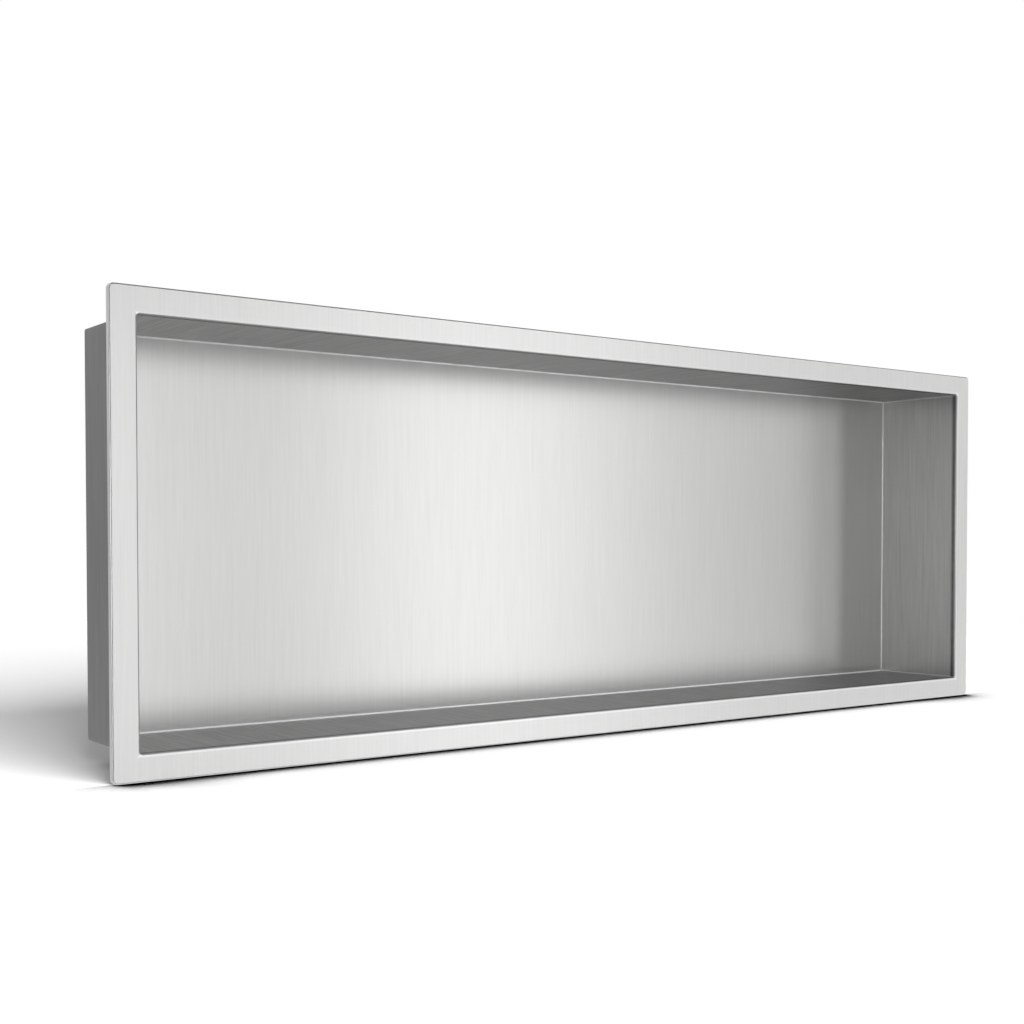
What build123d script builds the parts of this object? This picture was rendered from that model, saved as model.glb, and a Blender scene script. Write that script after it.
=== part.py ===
"""Shower niche insert: a tray folded and welded from one stainless sheet, with a flange and return lip.

The row frame has its origin at the centre of the opening, in the plane of the finished wall, where
the return lip's rear edge seats. +X runs along the width, +Y into the wall and +Z up, so the flange
faces -Y. All sizes are in millimetres.
"""

from build123d import *

import os

# Overall sizes
overall_width = 914.4  # across the flange, left to right: 36 in
overall_height = 330.2  # across the flange, bottom to top: 13 in
rim_width = 19.05  # from the lip's outer face to the opening: 3/4 in
inner_depth = 95.25  # from the flange's face to the back panel's inner face: 3 3/4 in
lip_depth = 5.0  # from the flange's face to the lip's rear edge

# Sheet, folds and ground corners
sheet = 1.5  # thickness, the same in every panel
fold_outside = 1.0  # outside radius of every fold, kept crisp by a groove cut along its root
seam_inside = 0.7  # fillet ground inside the tray, where the walls meet the back panel
weld_ease = 0.3  # how much more than its folds the tray's welded corners are rounded
rim_corner = 3.5  # outer corners of the flange, ground round

# Sizes that follow from those above
opening_width = overall_width - 2 * rim_width
opening_height = overall_height - 2 * rim_width
opening_corner = seam_inside + weld_ease
tray_width = opening_width + 2 * sheet
tray_height = opening_height + 2 * sheet
tray_corner = fold_outside + weld_ease

# Planes square to Y, which face the room
wall_plane = Plane.XZ
flange_rear = Plane.XZ.offset(lip_depth - sheet)
flange_front = Plane.XZ.offset(lip_depth)


# Outside of the rim: the flange's front, the fold round its edge and the lip's outer face
with BuildPart() as rim_outside:
    with BuildSketch(wall_plane):
        RectangleRounded(overall_width, overall_height, rim_corner)
    extrude(amount=lip_depth)
    fillet(rim_outside.faces().sort_by(Axis.Y)[0].edges(), fold_outside)

# Hollow behind the flange, which leaves one thickness of sheet in the flange and the lip
with BuildPart() as rim_hollow:
    with BuildSketch(wall_plane):
        RectangleRounded(overall_width - 2 * sheet, overall_height - 2 * sheet, rim_corner - sheet)
    extrude(amount=lip_depth - sheet)

# Outside of the tray: four walls with welded corners, folded up from the back panel
with BuildPart() as tray_outside:
    with BuildSketch(flange_rear):
        RectangleRounded(tray_width, tray_height, tray_corner)
    extrude(amount=-inner_depth)
    fillet(tray_outside.faces().sort_by(Axis.Y)[-1].edges(), fold_outside)

# Hollow of the tray, the space that shelves the bottles
with BuildPart() as tray_hollow:
    with BuildSketch(flange_front):
        RectangleRounded(opening_width, opening_height, opening_corner)
    extrude(amount=-inner_depth)
    fillet(tray_hollow.faces().sort_by(Axis.Y)[-1].edges(), seam_inside)

# The folded sheet as one piece. The fold from the walls to the flange is the last to be rounded,
# because it runs round the opening once the hollow is cut through the flange.
with BuildPart() as niche_body:
    add(rim_outside.part)
    add(rim_hollow.part, mode=Mode.SUBTRACT)
    add(tray_outside.part)
    add(tray_hollow.part, mode=Mode.SUBTRACT)
    flange_front_face = niche_body.faces().filter_by(Axis.Y).sort_by(Axis.Y)[0]
    fillet(flange_front_face.inner_wires()[0].edges(), fold_outside)

niche_body.part.label = "niche_body"
os.makedirs("parts", exist_ok=True)
export_step(niche_body.part, "parts/niche_body.step")
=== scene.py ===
"""Shower niche insert: a tray folded and welded from one sheet of brushed stainless steel.

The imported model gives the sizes. One surface, the skin, is worked out over the same folded section,
with smooth folds and a flat pattern for the brushing to follow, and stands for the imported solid. The
stage is a pale floor in a white studio. Soft windows of light all round are what the steel mirrors, and
one broad lamp in front lights the floor. All sizes are in metres.
"""

import math

import bpy
import numpy as np
from mathutils import Matrix, Vector


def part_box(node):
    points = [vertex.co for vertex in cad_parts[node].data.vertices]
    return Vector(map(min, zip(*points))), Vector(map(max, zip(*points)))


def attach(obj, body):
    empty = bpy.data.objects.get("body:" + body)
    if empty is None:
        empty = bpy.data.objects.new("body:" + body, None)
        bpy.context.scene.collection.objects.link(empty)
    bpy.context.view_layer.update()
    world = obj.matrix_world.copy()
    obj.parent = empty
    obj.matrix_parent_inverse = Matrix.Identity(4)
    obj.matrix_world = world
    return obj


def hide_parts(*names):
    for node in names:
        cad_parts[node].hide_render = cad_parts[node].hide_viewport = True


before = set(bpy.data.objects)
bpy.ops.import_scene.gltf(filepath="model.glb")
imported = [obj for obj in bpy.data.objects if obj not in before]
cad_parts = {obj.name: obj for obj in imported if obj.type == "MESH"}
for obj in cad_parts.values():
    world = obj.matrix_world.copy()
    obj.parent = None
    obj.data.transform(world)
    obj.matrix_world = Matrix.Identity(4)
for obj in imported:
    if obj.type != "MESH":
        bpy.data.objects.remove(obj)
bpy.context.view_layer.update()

MM = 0.001

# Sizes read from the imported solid
LOW, HIGH = (Vector(corner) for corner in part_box("niche_body"))
HALF_WIDTH = HIGH.x
HALF_HEIGHT = HIGH.z
FLANGE_FRONT = LOW.y
TRAY_REAR = HIGH.y

# Sizes of the sheet, its folds and its ground corners
RIM_WIDTH = 19.05 * MM
SHEET = 1.5 * MM
FOLD_OUTSIDE = 1.0 * MM
SEAM_INSIDE = 0.7 * MM
OPENING_CORNER = 1.0 * MM
TRAY_CORNER = 1.3 * MM
RIM_CORNER = 3.5 * MM
ROOT = 0.1 * MM  # how far the crisp inner corners behind the flange are eased
CUT_EASE = 0.15 * MM  # how much the lip's two sheared corners are broken
FOLD_STEPS = 8
CORNER_STEPS = 10
SQUARELY = 0.9  # a face points along an axis if its normal's share along it is more than this
PANEL_STEP = 3.0  # how far apart the panels' grain lies on the flat pattern
BRIGHTEST_PAINTED_FOLD = -0.8  # the painted highlight's tone on the flange's outer fold on the left and bottom

# Finishes, numbered as the skin's material slots: the tray's back panel, its side walls, its ceiling
# and floor, the flange, the lip's outer face, lighter by painted light, the lip's sheared edge, and the
# duller, unbrushed outside that the wall hides, its colour darker by painted shade
TRAY, SIDES, DEPTH, RIM, LIP, EDGE, OUTSIDE = range(7)


# Geometry

def arc(offset, depth, radius, start, end):
    """Points (offset, depth) on a circle about a centre, from one angle to another in degrees.

    Offset is measured outwards from the walls' inner faces, and depth along +Y. Angle 0 points
    outwards and 90 into the wall: point = centre + radius * (cos angle, sin angle)."""
    angles = np.radians(np.linspace(start, end, FOLD_STEPS + 1))
    return np.column_stack((offset + radius * np.cos(angles), depth + radius * np.sin(angles)))


def folded_section():
    """The sheet's section, from the back panel's inner face, round the flange and lip, to its outer face.

    It is a chain of eight arcs, numbered from 0, with a straight stretch after each but the last.
    Returns the points (offset, depth), the finish of each, and the corner radius that the rectangle
    through each would have if it lay at the walls' inner faces."""
    seam_depth = TRAY_REAR - SHEET - SEAM_INSIDE
    front_depth = FLANGE_FRONT + FOLD_OUTSIDE
    root_depth = FLANGE_FRONT + SHEET + ROOT
    rim = RIM_CORNER - RIM_WIDTH
    tray = TRAY_CORNER - SHEET
    arcs = (
        (arc(-SEAM_INSIDE, seam_depth, SEAM_INSIDE, 90, 0), TRAY, OPENING_CORNER),
        (arc(FOLD_OUTSIDE, front_depth, FOLD_OUTSIDE, 180, 270), RIM, OPENING_CORNER),
        (arc(RIM_WIDTH - FOLD_OUTSIDE, front_depth, FOLD_OUTSIDE, 270, 360), RIM, rim),
        (arc(RIM_WIDTH - CUT_EASE, -CUT_EASE, CUT_EASE, 0, 90), EDGE, rim),
        (arc(RIM_WIDTH - SHEET + CUT_EASE, -CUT_EASE, CUT_EASE, 90, 180), EDGE, rim),
        (arc(RIM_WIDTH - SHEET - ROOT, root_depth, ROOT, 360, 270), OUTSIDE, rim),
        (arc(SHEET + ROOT, root_depth, ROOT, 270, 180), OUTSIDE, tray),
        (arc(SHEET - FOLD_OUTSIDE, TRAY_REAR - FOLD_OUTSIDE, FOLD_OUTSIDE, 0, 90), OUTSIDE, tray),
    )
    points = np.concatenate([points for points, _, _ in arcs])
    finish = np.repeat([finish for _, finish, _ in arcs], FOLD_STEPS + 1)
    corner = np.repeat([corner for _, _, corner in arcs], FOLD_STEPS + 1)
    return points, finish, corner


def straight_after(arc_number):
    """Which strip of faces is the straight stretch after that arc of the section.

    Each arc has FOLD_STEPS strips and the straight stretch after it has one, so it is
    (arc number + 1) * (FOLD_STEPS + 1) - 1."""
    return (arc_number + 1) * (FOLD_STEPS + 1) - 1


def skin_mesh(name):
    """The folded sheet as one closed surface over two parameters.

    The first parameter runs along the section and the second round the opening. At section point
    (offset, depth) the second draws a rectangle with rounded corners: half its sides are the
    opening's plus the offset, and its corner radius is the section's plus the offset. Each corner
    is a quarter circle of angle v, so a point is sign * (half side - radius) + radius * (cos v,
    sin v). The two ends of the section are closed by the back panel's faces. A strip of faces has
    the finish of the section's arc before it, save beyond the sheared edge, on the lip and on the
    tray's walls."""
    section, finish, corner = folded_section()
    offset, depth = section[:, 0], section[:, 1]
    half_x = HALF_WIDTH - RIM_WIDTH + offset
    half_z = HALF_HEIGHT - RIM_WIDTH + offset
    radius = corner + offset

    quarter = np.linspace(0, math.pi / 2, CORNER_STEPS + 1)
    angles = (np.arange(4)[:, None] * math.pi / 2 + quarter).ravel()
    side_x = np.repeat((1, -1, -1, 1), CORNER_STEPS + 1)
    side_z = np.repeat((1, 1, -1, -1), CORNER_STEPS + 1)
    x = side_x * (half_x - radius)[:, None] + radius[:, None] * np.cos(angles)
    z = side_z * (half_z - radius)[:, None] + radius[:, None] * np.sin(angles)
    y = np.broadcast_to(depth[:, None], x.shape)
    vertices = np.stack((x, y, z), axis=-1).reshape(-1, 3)

    rows, columns = x.shape
    index = np.arange(rows * columns).reshape(rows, columns)
    after = np.roll(index, -1, axis=1)
    quads = np.stack((index[:-1], after[:-1], after[1:], index[1:]), axis=-1).reshape(-1, 4)
    faces = quads.tolist() + [index[0, ::-1].tolist(), index[-1].tolist()]

    mesh = bpy.data.meshes.new(name)
    mesh.from_pydata(vertices.tolist(), [], faces)
    strip = np.where(finish[:-1] == EDGE, finish[1:], finish[:-1])
    strip[straight_after(2)] = LIP
    slots = np.concatenate((np.repeat(strip, columns), (TRAY, OUTSIDE)))
    wall = np.arange(len(faces)) // columns == straight_after(0)
    facing = np.abs(face_normals(mesh))
    slots[wall & (facing[:, 0] > SQUARELY)] = SIDES
    slots[wall & (facing[:, 2] > SQUARELY)] = DEPTH
    mesh.polygons.foreach_set("material_index", slots.astype(np.int32))
    mesh.polygons.foreach_set("use_smooth", np.ones(len(faces), dtype=bool))
    add_painted_fold_light(mesh, rows, quarter)
    add_flat_pattern(mesh)
    mesh.validate()
    return mesh


def face_normals(mesh):
    """Each face's normal, one row a face."""
    normals = np.empty(len(mesh.polygons) * 3)
    mesh.polygons.foreach_get("normal", normals)
    return normals.reshape(-1, 3)


def add_painted_fold_light(mesh, rows, quarter):
    """Stores the folds' painted shade and highlight at each vertex, for the materials to read: 0 on the flat
    panels.

    It is 1, for painted shade, in the middle of an arc and at the tray's outer corners. Round the
    flange's edge it turns with the angle v of its side, as sqrt 2 * sin(v + 45 degrees) within
    BRIGHTEST_PAINTED_FOLD and 1: painted shade on the top and right, and a painted highlight brighter than
    the flange on the left and bottom, as fitted to the photograph. The seam and the opening's fold have none,
    because the materials work those out."""
    along = np.sin(np.linspace(0, math.pi, FOLD_STEPS + 1))
    arcs = rows // along.size
    arc_of_row = np.repeat(np.arange(arcs), along.size)[:, None]
    section = np.tile(along, arcs)[:, None]
    corners = np.tile(np.sin(2 * quarter), 4)
    side = (np.arange(4)[:, None] * math.pi / 2 + quarter).ravel()
    # Painted shade on the top and right of the flange's edge, painted highlight on the left and bottom
    painted_edge_side = np.clip(math.sqrt(2) * np.sin(side + math.pi / 4), BRIGHTEST_PAINTED_FOLD, 1)
    outside = (arc_of_row >= arcs - 2) & (np.arange(rows)[:, None] < rows - 1)
    painted_fold_light = np.where(arc_of_row < 2, 0.0, section) * np.where(arc_of_row == 2, painted_edge_side, 1.0)
    painted_fold_light = painted_fold_light + outside * corners
    layer = mesh.attributes.new("painted_fold_light", "FLOAT", "POINT")
    layer.data.foreach_set("value", np.clip(painted_fold_light, -1, 1).ravel().astype(np.float32))


def add_flat_pattern(mesh):
    """A UV map in metres whose U runs across the brushing and V along it, as on the flat sheet.

    Each face takes the two coordinates that it lies in: (x, z) where it faces front or back, (y, z)
    where it faces sideways and (x, y) where it faces up or down. U then moves on by a set step for
    each way a face can point, so that no two panels carry the same streaks."""
    corners = len(mesh.loops)
    where = np.empty(len(mesh.vertices) * 3)
    mesh.vertices.foreach_get("co", where)
    vertex = np.empty(corners, dtype=np.int32)
    mesh.loops.foreach_get("vertex_index", vertex)
    point = where.reshape(-1, 3)[vertex]
    normals = face_normals(mesh)
    counts = np.empty(len(mesh.polygons), dtype=np.int32)
    mesh.polygons.foreach_get("loop_total", counts)
    axis = np.abs(normals).argmax(axis=1)
    sign = np.take_along_axis(normals, axis[:, None], axis=1)[:, 0] > 0
    axis, sign = np.repeat(axis, counts), np.repeat(sign, counts)
    u = np.choose(axis, (point[:, 1], point[:, 0], point[:, 0])) + PANEL_STEP * (2 * axis + sign)
    v = np.choose(axis, (point[:, 2], point[:, 2], point[:, 1]))
    layer = mesh.uv_layers.new(name="flat_pattern")
    layer.data.foreach_set("uv", np.column_stack((u, v)).ravel())


def build_skin(materials):
    """The folded sheet, with flat panels kept flat and folds kept round in the shading."""
    skin = bpy.data.objects.new("folded_sheet", skin_mesh("folded_sheet"))
    bpy.context.collection.objects.link(skin)
    for finish in sorted(materials):
        skin.data.materials.append(materials[finish])
    weighted = skin.modifiers.new("panels_stay_flat", "WEIGHTED_NORMAL")
    weighted.mode = "FACE_AREA"
    weighted.weight = 100
    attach(skin, "root")
    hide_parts("niche_body")
    return skin


# Shader node groups

HAIRLINE_WIDTH = 1.5 * MM
STREAK_WIDTH = 4.0 * MM
SIDE_SEAM_HIGHLIGHT_SHARE = 0.5  # how bright the painted highlight on the side walls' seams is, beside the others
TOP_HIGHLIGHT_SHARE = 0.3  # how bright the painted highlight on the opening's upper fold is, beside the others
LEFT_NARROWING = 1.3  # how much narrower the strip of painted shade on the left is: its width is divided by 1 + this
INNER_SPREAD = 0.4  # the strip of painted shade inside the opening is the fold's width divided by this


class Builder:
    """Adds nodes to one node tree and links them, so that a formula reads as a call."""

    def __init__(self, tree):
        self.tree = tree

    def node(self, kind, links=None, **settings):
        """A node of that kind. links gives its inputs by name or number: sockets are linked, values set."""
        node = self.tree.nodes.new(kind)
        for name, value in settings.items():
            setattr(node, name, value)
        for key, value in (links or {}).items():
            if isinstance(value, bpy.types.NodeSocket):
                self.tree.links.new(value, node.inputs[key])
            else:
                node.inputs[key].default_value = value
        return node

    def math(self, operation, *values, clamp=False):
        """One Math node's result."""
        links = dict(enumerate(values))
        return self.node("ShaderNodeMath", links, operation=operation, use_clamp=clamp).outputs[0]

    def ramp(self, value, start, end, low=0.0, high=1.0):
        """The value carried smoothly from low at start to high at end, and level outside."""
        links = {0: value, 1: start, 2: end, 3: low, 4: high}
        return self.node("ShaderNodeMapRange", links, interpolation_type="SMOOTHSTEP").outputs[0]


def new_group(name, inputs, outputs):
    """An empty shader node group with its sockets. Returns the group, its builder and its input sockets."""
    group = bpy.data.node_groups.new(name, "ShaderNodeTree")
    for label, kind, default in inputs:
        socket = group.interface.new_socket(label, in_out="INPUT", socket_type=kind)
        if default is not None:
            socket.default_value = default
    for label, kind in outputs:
        group.interface.new_socket(label, in_out="OUTPUT", socket_type=kind)
    builder = Builder(group)
    source = builder.node("NodeGroupInput")
    return group, builder, source.outputs


def place_group(builder, group, **values):
    """Puts a group in a material or a world, with its own values. Underscores stand for spaces."""
    node = builder.node("ShaderNodeGroup", node_tree=group)
    for name, value in values.items():
        socket = node.inputs[name.replace("_", " ").title()]
        if isinstance(value, bpy.types.NodeSocket):
            builder.tree.links.new(value, socket)
        else:
            socket.default_value = value
    return node.outputs


def steel_grain_group():
    """Brushing: fine hairlines, broader streaks and wide soft bands, all along V.

    Vector is the flat pattern in metres. Each layer is a noise over (U / width, V / length), less
    its mean of a half, so it changes fast across the grain and slowly along it."""
    group, build, source = new_group(
        "steel_grain",
        [("Vector", "NodeSocketVector", None),
         ("Hairline Width", "NodeSocketFloat", HAIRLINE_WIDTH), ("Hairline Length", "NodeSocketFloat", 0.05),
         ("Streak Width", "NodeSocketFloat", STREAK_WIDTH), ("Streak Length", "NodeSocketFloat", 0.11),
         ("Band Width", "NodeSocketFloat", 11 * MM), ("Band Length", "NodeSocketFloat", 0.33)],
        [("Hairlines", "NodeSocketFloat"), ("Streaks", "NodeSocketFloat"), ("Bands", "NodeSocketFloat")])
    split = build.node("ShaderNodeSeparateXYZ", {0: source["Vector"]}).outputs

    def layer(name, detail, seed):
        across = build.math("DIVIDE", split["X"], source[name + " Width"])
        along = build.math("DIVIDE", split["Y"], source[name + " Length"])
        place = build.node("ShaderNodeCombineXYZ", {"X": across, "Y": along, "Z": seed}).outputs[0]
        noise = build.node("ShaderNodeTexNoise", {"Vector": place, "Scale": 1.0, "Detail": detail}).outputs[0]
        return build.math("SUBTRACT", noise, 0.5)

    target = build.node("NodeGroupOutput")
    build.tree.links.new(layer("Hairline", 2.0, 1.7), target.inputs["Hairlines"])
    build.tree.links.new(layer("Streak", 1.0, 5.3), target.inputs["Streaks"])
    build.tree.links.new(layer("Band", 1.0, 9.1), target.inputs["Bands"])
    return group


def painted_edge_light_group():
    """Where a painted highlight brightens the seams, from 0 to 1, and the folds' painted shade and highlight,
    from -1 to 1.

    A seam is near two of the tray's inner planes at once, so its distance is the middle one of the
    three distances |y - back|, ||x| - half width| and ||z| - half height|. It is 1 within a quarter
    of Seam Width and 0 beyond the whole, and those on the side walls are dimmer.

    The opening's fold lies where t = outward distance from the opening - depth behind the flange's
    face is near 0. It has painted shade just inside, where t < 0, and a painted highlight on the flange
    just outside, where t > 0, save on the left, where that is a narrower strip of painted shade. The
    other folds' painted shade and highlight are stored on the mesh. A noise, by as much as Breakup, makes all
    of them a little uneven.

    The sides, the top and the left differ because these tones were fitted to the photograph. They
    carry some of its light, which the soft lights don't give on edges so thin."""
    group, build, source = new_group(
        "painted_edge_light",
        [("Breakup", "NodeSocketFloat", 0.2), ("Seam Width", "NodeSocketFloat", 1.7 * MM),
         ("Fold Width", "NodeSocketFloat", 3.0 * MM), ("Fold Painted Highlight", "NodeSocketFloat", 0.3),
         ("Left Painted Shade", "NodeSocketFloat", 1.25)],
        [("Seams", "NodeSocketFloat"), ("Folds", "NodeSocketFloat")])
    place = build.node("ShaderNodeTexCoord").outputs["Object"]
    split = build.node("ShaderNodeSeparateXYZ", {0: place}).outputs
    to_side = build.math("SUBTRACT", build.math("ABSOLUTE", split["X"]), HALF_WIDTH - RIM_WIDTH)
    to_level = build.math("SUBTRACT", build.math("ABSOLUTE", split["Z"]), HALF_HEIGHT - RIM_WIDTH)
    behind = build.math("SUBTRACT", split["Y"], FLANGE_FRONT)

    # The seams' painted highlight, where two of the tray's inner planes meet, dimmer on the side walls
    back = build.math("ABSOLUTE", build.math("SUBTRACT", split["Y"], TRAY_REAR - SHEET))
    side, level = build.math("ABSOLUTE", to_side), build.math("ABSOLUTE", to_level)
    nearer, farther = build.math("MINIMUM", back, side), build.math("MAXIMUM", back, side)
    middle = build.math("MAXIMUM", nearer, build.math("MINIMUM", farther, level))
    quarter = build.math("MULTIPLY", source["Seam Width"], 0.25)
    seam = build.ramp(middle, quarter, source["Seam Width"], 1.0, 0.0)
    upright = build.math("LESS_THAN", side, source["Seam Width"])
    dimmed = build.math("MULTIPLY_ADD", upright, SIDE_SEAM_HIGHLIGHT_SHARE - 1.0, 1.0)
    seam = build.math("MULTIPLY", seam, dimmed)

    # The opening's fold: painted shade just inside it and a painted highlight on the flange just outside
    across = build.math("SUBTRACT", build.math("MAXIMUM", to_side, to_level), behind)
    half_way = build.math("MULTIPLY", source["Fold Width"], 0.5)

    def strip(distance):
        """0 up to a distance of 0, 1 half way across Fold Width and 0 again at its end."""
        rise = build.ramp(distance, 0.0, half_way)
        fall = build.ramp(distance, half_way, source["Fold Width"], 1.0, 0.0)
        return build.math("MULTIPLY", rise, fall)

    on_side = build.math("GREATER_THAN", to_side, to_level)
    on_left = build.math("MULTIPLY", on_side, build.math("LESS_THAN", split["X"], 0.0))
    less = build.math("ADD", source["Fold Painted Highlight"], source["Left Painted Shade"])
    painted_light_outside = build.math("SUBTRACT", source["Fold Painted Highlight"], build.math("MULTIPLY", on_left, less))
    on_top = build.math("MULTIPLY", build.math("SUBTRACT", 1.0, on_side),
                        build.math("GREATER_THAN", split["Z"], 0.0))
    painted_light_outside = build.math("MULTIPLY", painted_light_outside, build.math("MULTIPLY_ADD", on_top, TOP_HIGHLIGHT_SHARE - 1.0, 1.0))
    closer = build.math("MULTIPLY", across, build.math("MULTIPLY_ADD", on_left, LEFT_NARROWING, 1.0))
    painted_light_outside = build.math("MULTIPLY", strip(closer), painted_light_outside)
    painted_shade_inside = strip(build.math("MULTIPLY", across, -INNER_SPREAD))
    stored = build.node("ShaderNodeAttribute", attribute_name="painted_fold_light").outputs["Fac"]
    painted_fold_light = build.math("ADD", build.math("SUBTRACT", painted_shade_inside, painted_light_outside), stored)
    noise = build.node("ShaderNodeTexNoise", {"Vector": place, "Scale": 90.0, "Detail": 2.0}).outputs[0]
    patchy = build.math("SUBTRACT", 1.0, build.math("MULTIPLY", noise, source["Breakup"]))
    target = build.node("NodeGroupOutput")
    build.tree.links.new(build.math("MULTIPLY", seam, patchy), target.inputs["Seams"])
    build.tree.links.new(build.math("MULTIPLY", painted_fold_light, patchy), target.inputs["Folds"])
    return group


def soft_light_group():
    """One soft window of light on the studio's sky, by azimuth and elevation in radians.

    Its level is Strength inside and falls smoothly to nothing over twice Softness at its edges. It
    shows as high below the horizon as above it, as over a pale floor."""
    sockets = ("Azimuth", "Elevation", "Centre", "Half Width", "Width Softness", "Half Height",
               "Height Softness", "Strength")
    group, build, source = new_group(
        "soft_light", [(name, "NodeSocketFloat", 0.0) for name in sockets], [("Light", "NodeSocketFloat")])

    def window(distance, half, softness):
        inner = build.math("SUBTRACT", half, softness)
        outer = build.math("ADD", half, softness)
        return build.ramp(distance, inner, outer, 1.0, 0.0)

    turn = build.math("WRAP", build.math("SUBTRACT", source["Azimuth"], source["Centre"]), math.pi, -math.pi)
    across = window(build.math("ABSOLUTE", turn), source["Half Width"], source["Width Softness"])
    rise = build.math("ABSOLUTE", source["Elevation"])
    upright = window(rise, source["Half Height"], source["Height Softness"])
    light = build.math("MULTIPLY", build.math("MULTIPLY", across, upright), source["Strength"])
    build.tree.links.new(light, build.node("NodeGroupOutput").inputs["Light"])
    return group


# Materials

SEAM_HIGHLIGHT = 1.0  # how much lighter the painted highlight makes a seam than the sheet
SEAM_MATT = 0.08  # how far a ground seam loses the sheet's metallic gloss
SOFT_WAVES = 5e-6  # how high the brushed sheet's soft waves are
FLAT_WAVES = 1e-6  # and those of the unbrushed sheet


def steel(name, groups, colour, roughness, anisotropy, tone, relief, fold_light=0.0, fineness=1.0):
    """Stainless steel whose grain runs along V of the flat pattern.

    tone is how far the hairlines, streaks and bands lighten or darken the colour, and relief the
    height of the sheet's soft waves in metres. fold_light is how much lighter the painted light makes a
    fold of tone 1, so that below 0 it is painted shade, and fineness divides the widths of the hairlines and
    streaks.
    The tangent lies across the grain, so reflections spread that way."""
    material = bpy.data.materials.new(name)
    material.use_nodes = True
    build = Builder(material.node_tree)
    shader = material.node_tree.nodes["Principled BSDF"]
    pattern = build.node("ShaderNodeUVMap", uv_map="flat_pattern").outputs["UV"]
    grain = place_group(build, groups["steel_grain"], vector=pattern,
                        hairline_width=HAIRLINE_WIDTH / fineness, streak_width=STREAK_WIDTH / fineness)
    edges = place_group(build, groups["painted_edge_light"])

    lightness = 1.0
    # The colour takes the grain, the seams' painted highlight and the folds' painted shade and highlight
    parts = ((grain["Hairlines"], tone[0]), (grain["Streaks"], tone[1]), (grain["Bands"], tone[2]),
             (edges["Seams"], SEAM_HIGHLIGHT), (edges["Folds"], fold_light))
    for value, amount in parts:
        lightness = build.math("MULTIPLY_ADD", value, amount, lightness)
    plain = build.node("ShaderNodeRGB")
    plain.outputs[0].default_value = (*colour, 1.0)
    shade = build.node("ShaderNodeVectorMath", {0: plain.outputs[0], 3: lightness}, operation="SCALE")
    bump = build.node("ShaderNodeBump", {"Height": grain["Bands"], "Distance": relief, "Strength": 1.0})
    across = build.node("ShaderNodeTangent", direction_type="UV_MAP", uv_map="flat_pattern")
    for socket, value in (("Base Color", shade.outputs[0]), ("Normal", bump.outputs[0]),
                          ("Tangent", across.outputs[0])):
        material.node_tree.links.new(value, shader.inputs[socket])
    bare = build.math("MULTIPLY_ADD", edges["Seams"], -SEAM_MATT, 1.0, clamp=True)
    material.node_tree.links.new(bare, shader.inputs["Metallic"])
    shader.inputs["Roughness"].default_value = roughness
    shader.inputs["Anisotropic"].default_value = anisotropy
    return material


def steel_finishes():
    """The sheet's seven finishes, by slot, where tone gives the hairlines, the streaks and the bands.

    Each was fitted to its own panel in the photograph, so they differ more than one real sheet does."""
    groups = {"steel_grain": steel_grain_group(), "painted_edge_light": painted_edge_light_group()}
    return {
        TRAY: steel("brushed_tray", groups, (0.6, 0.6, 0.595), roughness=0.285, anisotropy=0.1,
                    tone=(0.11, 0.03, 0.02), relief=SOFT_WAVES, fold_light=-0.8),
        SIDES: steel("brushed_sides", groups, (0.6, 0.6, 0.595), roughness=0.285, anisotropy=0.1,
                     tone=(0.3, 0.1, 0.05), relief=SOFT_WAVES, fold_light=-0.8),
        DEPTH: steel("brushed_depth", groups, (0.6, 0.6, 0.595), roughness=0.42, anisotropy=0.7,
                     tone=(0.8, 0.25, 0.06), relief=SOFT_WAVES, fold_light=-0.8, fineness=1.7),
        RIM: steel("brushed_rim", groups, (0.66, 0.66, 0.655), roughness=0.3, anisotropy=0.5,
                   tone=(0.12, 0.03, 0.02), relief=SOFT_WAVES, fold_light=-0.75),
        # The lip's colour is lighter than the flange's by painted light
        LIP: steel("brushed_lip_painted_light", groups, (0.95, 0.95, 0.945), roughness=0.3, anisotropy=0.5,
                   tone=(0.12, 0.03, 0.02), relief=SOFT_WAVES, fold_light=-0.75),
        EDGE: steel("sheared_edge", groups, (0.55, 0.55, 0.545), roughness=0.35, anisotropy=0.0,
                    tone=(0.1, 0.05, 0.02), relief=FLAT_WAVES),
        # The outside is unbrushed, and its colour is darker than the sheet's by painted shade
        OUTSIDE: steel("mill_finish_painted_shade", groups, (0.3, 0.3, 0.297), roughness=0.37, anisotropy=0.0,
                       tone=(0.45, 0.12, 0.06), relief=FLAT_WAVES, fold_light=-0.3),
    }


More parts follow.
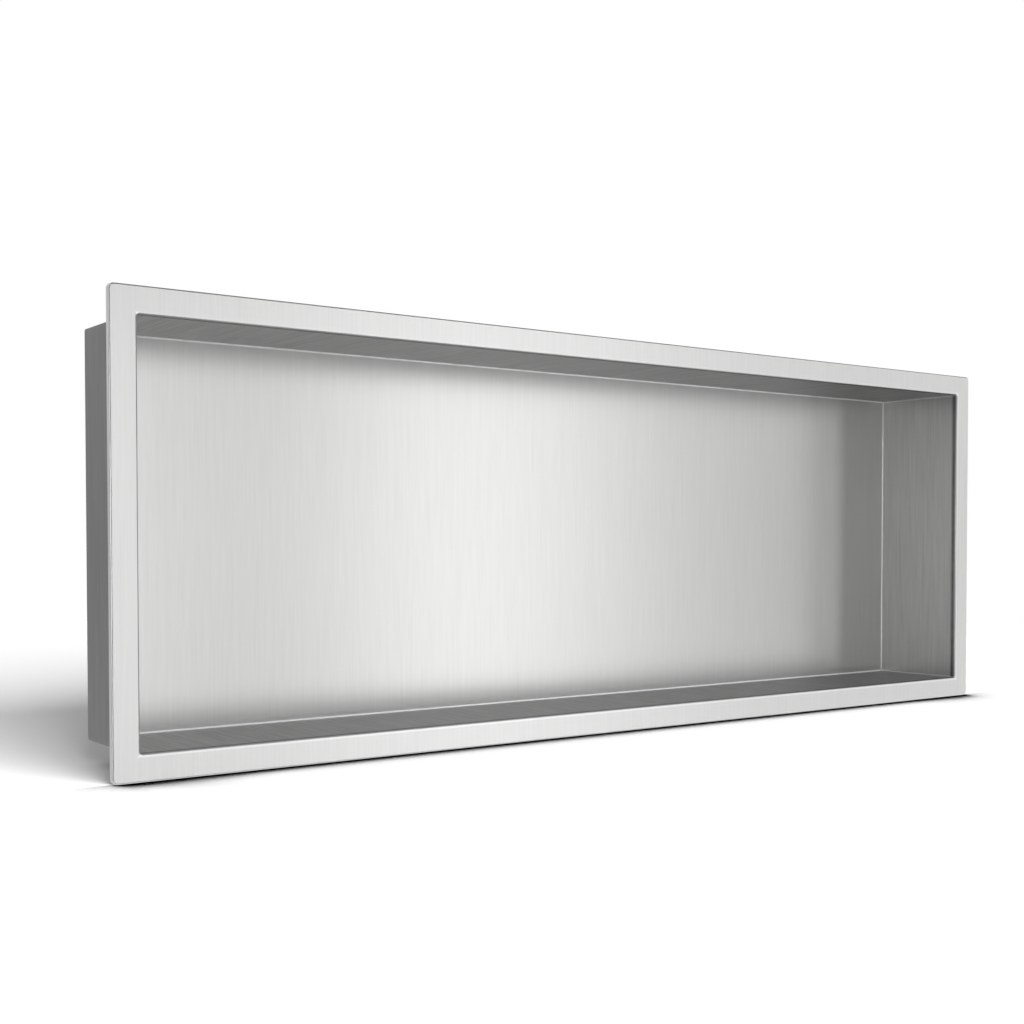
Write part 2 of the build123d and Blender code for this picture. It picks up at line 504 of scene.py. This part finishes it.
def floor_material():
    """A pale floor that takes the object's shadow near it and fades to the white background.

    Before the flange's foot a painted contact shadow darkens its own colour too, by how much of the
    space within CONTACT_REACH the object fills: not at all at CONTACT_END open, and to black at
    CONTACT_START. It fades towards the back over the lip's depth. The fade to white follows r = length(x /
    half x, (y - behind) / half y), from 0.7 to 0.98 of the way to the floor's rim."""
    material = bpy.data.materials.new("pale_floor")
    material.use_nodes = True
    build = Builder(material.node_tree)
    tree = material.node_tree
    tree.nodes.remove(tree.nodes["Principled BSDF"])
    # A painted contact shadow before the flange's foot, by how much the object fills the space nearby
    near = build.node("ShaderNodeAmbientOcclusion", {"Distance": CONTACT_REACH}, samples=16).outputs["AO"]
    contact = build.ramp(near, CONTACT_START, CONTACT_END, 1.0, 0.0)
    place = build.node("ShaderNodeTexCoord").outputs["Object"]
    depth = build.node("ShaderNodeSeparateXYZ", {0: place}).outputs["Y"]
    before = build.ramp(depth, FLANGE_FRONT, 0.0, 1.0, 0.0)
    shade = build.math("MULTIPLY", contact, before)
    pale = build.math("MULTIPLY_ADD", shade, -FLOOR_COLOUR, FLOOR_COLOUR)
    lit = build.node("ShaderNodeBsdfDiffuse", {"Color": pale}).outputs[0]
    path = build.node("ShaderNodeLightPath").outputs
    seen = build.math("MAXIMUM", path["Is Camera Ray"], path["Is Transmission Ray"])
    white = build.node("ShaderNodeEmission", {"Strength": seen}).outputs[0]
    away = build.node("ShaderNodeVectorMath", {0: place, 1: (0.0, FLOOR_BEHIND, 0.0)}, operation="SUBTRACT")
    halves = (1 / FLOOR_HALF_X, 1 / FLOOR_HALF_Y, 0.0)
    shape = build.node("ShaderNodeVectorMath", {0: away.outputs[0], 1: halves}, operation="MULTIPLY")
    reach = build.node("ShaderNodeVectorMath", {0: shape.outputs[0]}, operation="LENGTH").outputs["Value"]
    far = build.ramp(reach, 0.7, 0.98)
    mixed = build.node("ShaderNodeMixShader", {0: far, 1: lit, 2: white})
    tree.links.new(mixed.outputs[0], tree.nodes["Material Output"].inputs["Surface"])
    return material


# Studio

FLOOR_HALF_X = 1.6
FLOOR_HALF_Y = 1.6
FLOOR_BEHIND = 0.8  # how far behind the object the floor's middle lies
FLOOR_POINTS = 96  # round its rim
FLOOR_COLOUR = 0.9
CONTACT_REACH = 0.1  # how far up the painted contact shadow before the flange's foot looks for the object
CONTACT_START = 0.68  # how open the space there is where the painted contact shadow is darkest
CONTACT_END = 0.93  # and where it ends

# The studio's lights, as seen from the object: azimuth from +X towards +Y, half width and softness,
# half height and softness, all in degrees, and the level. A level below 0 takes light away. All were
# fitted to the photograph's levels, and what each is called is a guess at the real studio.
SOFT_LIGHTS = (
    (-55.4, 4.0, 4.0, 17.8, 3.0, 3.2),  # the front light's bright middle
    (-73.4, 4.0, 4.0, 17.0, 3.0, 2.96),  # the front light's bright left edge
    (-10.0, 30.0, 17.8, 21.5, 4.0, 1.01),  # a broad dimmer light at the right
    (-160.9, 15.5, 9.8, 3.0, 3.0, 4.0),  # a low strip beside the camera
    (100.2, 144.6, 10.0, 100.0, 5.0, 0.66),  # pale walls all round, save at the front light
    (100.2, 144.6, 10.0, 12.5, 12.5, -0.49),  # their dark foot
    (0.0, 200.0, 10.0, 100.0, 5.0, 0.39),  # the pale ceiling
    (0.0, 200.0, 10.0, 52.3, 5.0, -0.39),  # which starts high up
    (45.0, 45.0, 15.0, 60.0, 10.0, -0.5),  # the dim corner behind the object
    (109.7, 9.0, 3.0, 12.0, 6.0, 0.45),  # a pale screen at the back left, which the lip mirrors
)
BACKDROP = (60.0, 40.0, 20.0, 30.0, 20.0, 0.15)  # a faint one behind, which only the steel mirrors
LEAST_LIGHT = 0.02  # the level between the lights
FLOOR_SHARE = 0.55  # how much of the soft lights reaches the floor
LAMP_AZIMUTH = -86.0  # in degrees, as for the soft lights
LAMP_ELEVATION = 20.0
LAMP_SPREAD = 50.0  # how wide the lamp is, as an angle seen from the object
LAMP_STRENGTH = 8.0

# The camera, solved from the object's straight edges in the photograph
CAMERA_PLACE = (-0.78676, -0.89929, -0.00367)
CAMERA_FORWARD = (0.59106, 0.80616, -0.02750)
CAMERA_UP = (0.01668, 0.02187, 0.99962)
CAMERA_LENS = 49.137
CAMERA_SENSOR = 36.0
CAMERA_SHIFT_UP = 0.06519


def build_camera():
    """The photograph's viewpoint: in front, to the left, level with the middle of the object."""
    data = bpy.data.cameras.new("camera")
    data.sensor_width = CAMERA_SENSOR
    data.lens = CAMERA_LENS
    data.shift_y = CAMERA_SHIFT_UP
    camera = bpy.data.objects.new("camera", data)
    bpy.context.collection.objects.link(camera)
    forward = Vector(CAMERA_FORWARD).normalized()
    right = forward.cross(Vector(CAMERA_UP)).normalized()
    up = right.cross(forward)
    turned = Matrix((right, up, -forward)).transposed()
    camera.matrix_world = Matrix.Translation(CAMERA_PLACE) @ turned.to_4x4()
    bpy.context.scene.camera = camera


def build_world(soft_light):
    """White for the camera, and the studio's soft lights for the steel to mirror and the floor to catch.

    The floor gets FLOOR_SHARE of them, and BACKDROP is for the steel alone."""
    world = bpy.data.worlds.new("studio")
    world.use_nodes = True
    build = Builder(world.node_tree)
    direction = build.node("ShaderNodeTexCoord").outputs["Generated"]
    split = build.node("ShaderNodeSeparateXYZ", {0: direction}).outputs
    azimuth = build.math("ARCTAN2", split["Y"], split["X"])
    elevation = build.math("ARCSINE", split["Z"])
    path = build.node("ShaderNodeLightPath").outputs

    def light(centre, half_width, width_softness, half_height, height_softness, strength):
        return place_group(
            build, soft_light, azimuth=azimuth, elevation=elevation, centre=math.radians(centre),
            half_width=math.radians(half_width), width_softness=math.radians(width_softness),
            half_height=math.radians(half_height), height_softness=math.radians(height_softness),
            strength=strength)["Light"]

    level = 0.0
    for values in SOFT_LIGHTS:
        level = build.math("ADD", light(*values), level)
    level = build.math("MAXIMUM", level, LEAST_LIGHT)
    mirrored = build.math("MAXIMUM", path["Is Glossy Ray"], path["Is Transmission Ray"])
    level = build.math("MULTIPLY_ADD", light(*BACKDROP), mirrored, level)
    share = build.math("MULTIPLY_ADD", path["Is Diffuse Ray"], FLOOR_SHARE - 1.0, 1.0)
    level = build.math("MULTIPLY", level, share)
    seen = build.node("ShaderNodeMix", {0: path["Is Camera Ray"], 2: level, 3: 1.0}, data_type="FLOAT")
    background = world.node_tree.nodes["Background"]
    background.inputs["Color"].default_value = (1.0, 1.0, 1.0, 1.0)
    world.node_tree.links.new(seen.outputs[0], background.inputs["Strength"])
    bpy.context.scene.world = world


def build_floor():
    """An oval of pale floor under the object, as far as its shadow reaches.

    The steel doesn't mirror it: the studio's soft lights go on below the horizon in its place."""
    mesh = bpy.data.meshes.new("floor")
    turns = np.linspace(0, 2 * math.pi, FLOOR_POINTS, endpoint=False)
    rim = np.column_stack((FLOOR_HALF_X * np.cos(turns), FLOOR_BEHIND + FLOOR_HALF_Y * np.sin(turns),
                           np.full(FLOOR_POINTS, LOW.z)))
    mesh.from_pydata(rim.tolist(), [], [list(range(FLOOR_POINTS))])
    floor = bpy.data.objects.new("floor", mesh)
    bpy.context.collection.objects.link(floor)
    mesh.materials.append(floor_material())
    floor.visible_glossy = False


def build_lamp():
    """A broad, far lamp in front that lights the floor. The steel doesn't mirror it, but the ground seams,
    which are slightly matt, catch a little of it."""
    data = bpy.data.lights.new("front_lamp", "SUN")
    data.angle = math.radians(LAMP_SPREAD)
    data.energy = LAMP_STRENGTH
    lamp = bpy.data.objects.new("front_lamp", data)
    bpy.context.collection.objects.link(lamp)
    azimuth, elevation = math.radians(LAMP_AZIMUTH), math.radians(LAMP_ELEVATION)
    towards = Vector((math.cos(azimuth) * math.cos(elevation), math.sin(azimuth) * math.cos(elevation),
                      math.sin(elevation)))
    lamp.matrix_world = (-towards).to_track_quat("-Z", "Y").to_matrix().to_4x4()
    lamp.visible_glossy = False


bpy.context.scene.view_settings.view_transform = "Standard"
build_camera()
build_world(soft_light_group())
build_floor()
build_lamp()
build_skin(steel_finishes())
